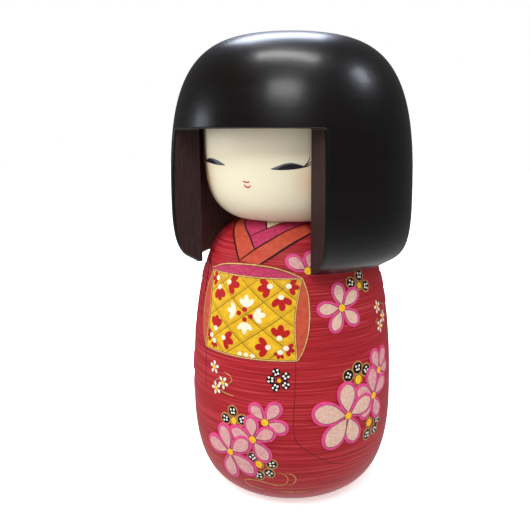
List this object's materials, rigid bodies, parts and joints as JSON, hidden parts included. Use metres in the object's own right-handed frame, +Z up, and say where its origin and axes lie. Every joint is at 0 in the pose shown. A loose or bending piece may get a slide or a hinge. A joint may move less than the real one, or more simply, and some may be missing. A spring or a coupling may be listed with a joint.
{
  "type": "kokeshi doll",
  "caption": "Turned wooden doll with a round body, a head ball set in a hollow bobbed hair cap with a cut-out face window, and a head that turns on a neck dowel.",
  "frame": {"origin": "centre of the flat base, on the surface that the doll stands on", "axes": "+Z up along the turning axis, -Y the way the face looks, +X towards the doll's left"},
  "size_m": [0.122, 0.12, 0.23],
  "materials": {
    "painted_body": "red lacquer over fine lathe rings, satin",
    "face": "cream paint, polished satin",
    "hair": "near-black lacquer, semi-gloss outside and stained brown on the cut faces",
    "bare_wood": "unfinished"
  },
  "bodies": {
    "body": {"torso": "painted_body"},
    "head": {"face_ball": "face", "hair_cap": "hair", "neck_dowel": "bare_wood", "crown_dowel": "bare_wood"}
  },
  "joints": [
    {"name": "head_turn", "type": "hinge", "parent": "body", "child": "head", "pos_m": [0, 0, 0.142], "axis": [0, 0, 1], "continuous": true}
  ]
}
